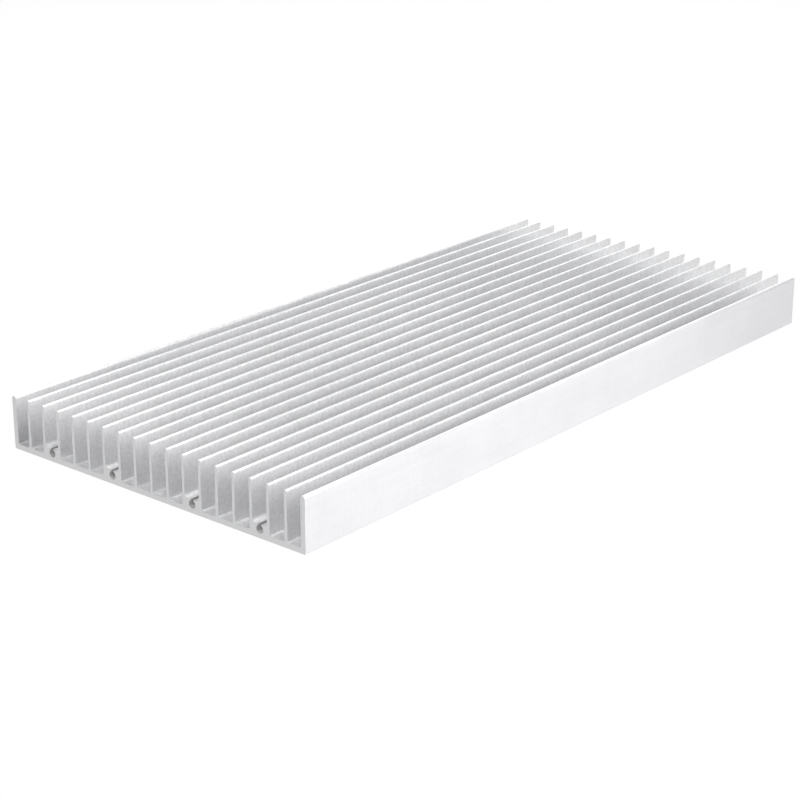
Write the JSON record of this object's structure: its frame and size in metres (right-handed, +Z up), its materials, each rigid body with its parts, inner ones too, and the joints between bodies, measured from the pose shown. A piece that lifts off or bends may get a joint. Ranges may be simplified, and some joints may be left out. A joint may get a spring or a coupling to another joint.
{
  "type": "extruded heat sink",
  "caption": "Flat extruded aluminium heat sink: a base plate with straight upright cooling fins, side walls and open screw ports along its length.",
  "frame": {"origin": "middle of the flat underside", "axes": "+X across the fins, +Y along the fins and the bar's length, +Z up from the underside to the fin tips"},
  "size_m": [0.14, 0.3, 0.02],
  "materials": {
    "aluminium": "satin, as extruded, with fine lengthwise die lines and saw-cut ends"
  },
  "bodies": {
    "root": {"heat_sink": "aluminium"}
  },
  "joints": []
}
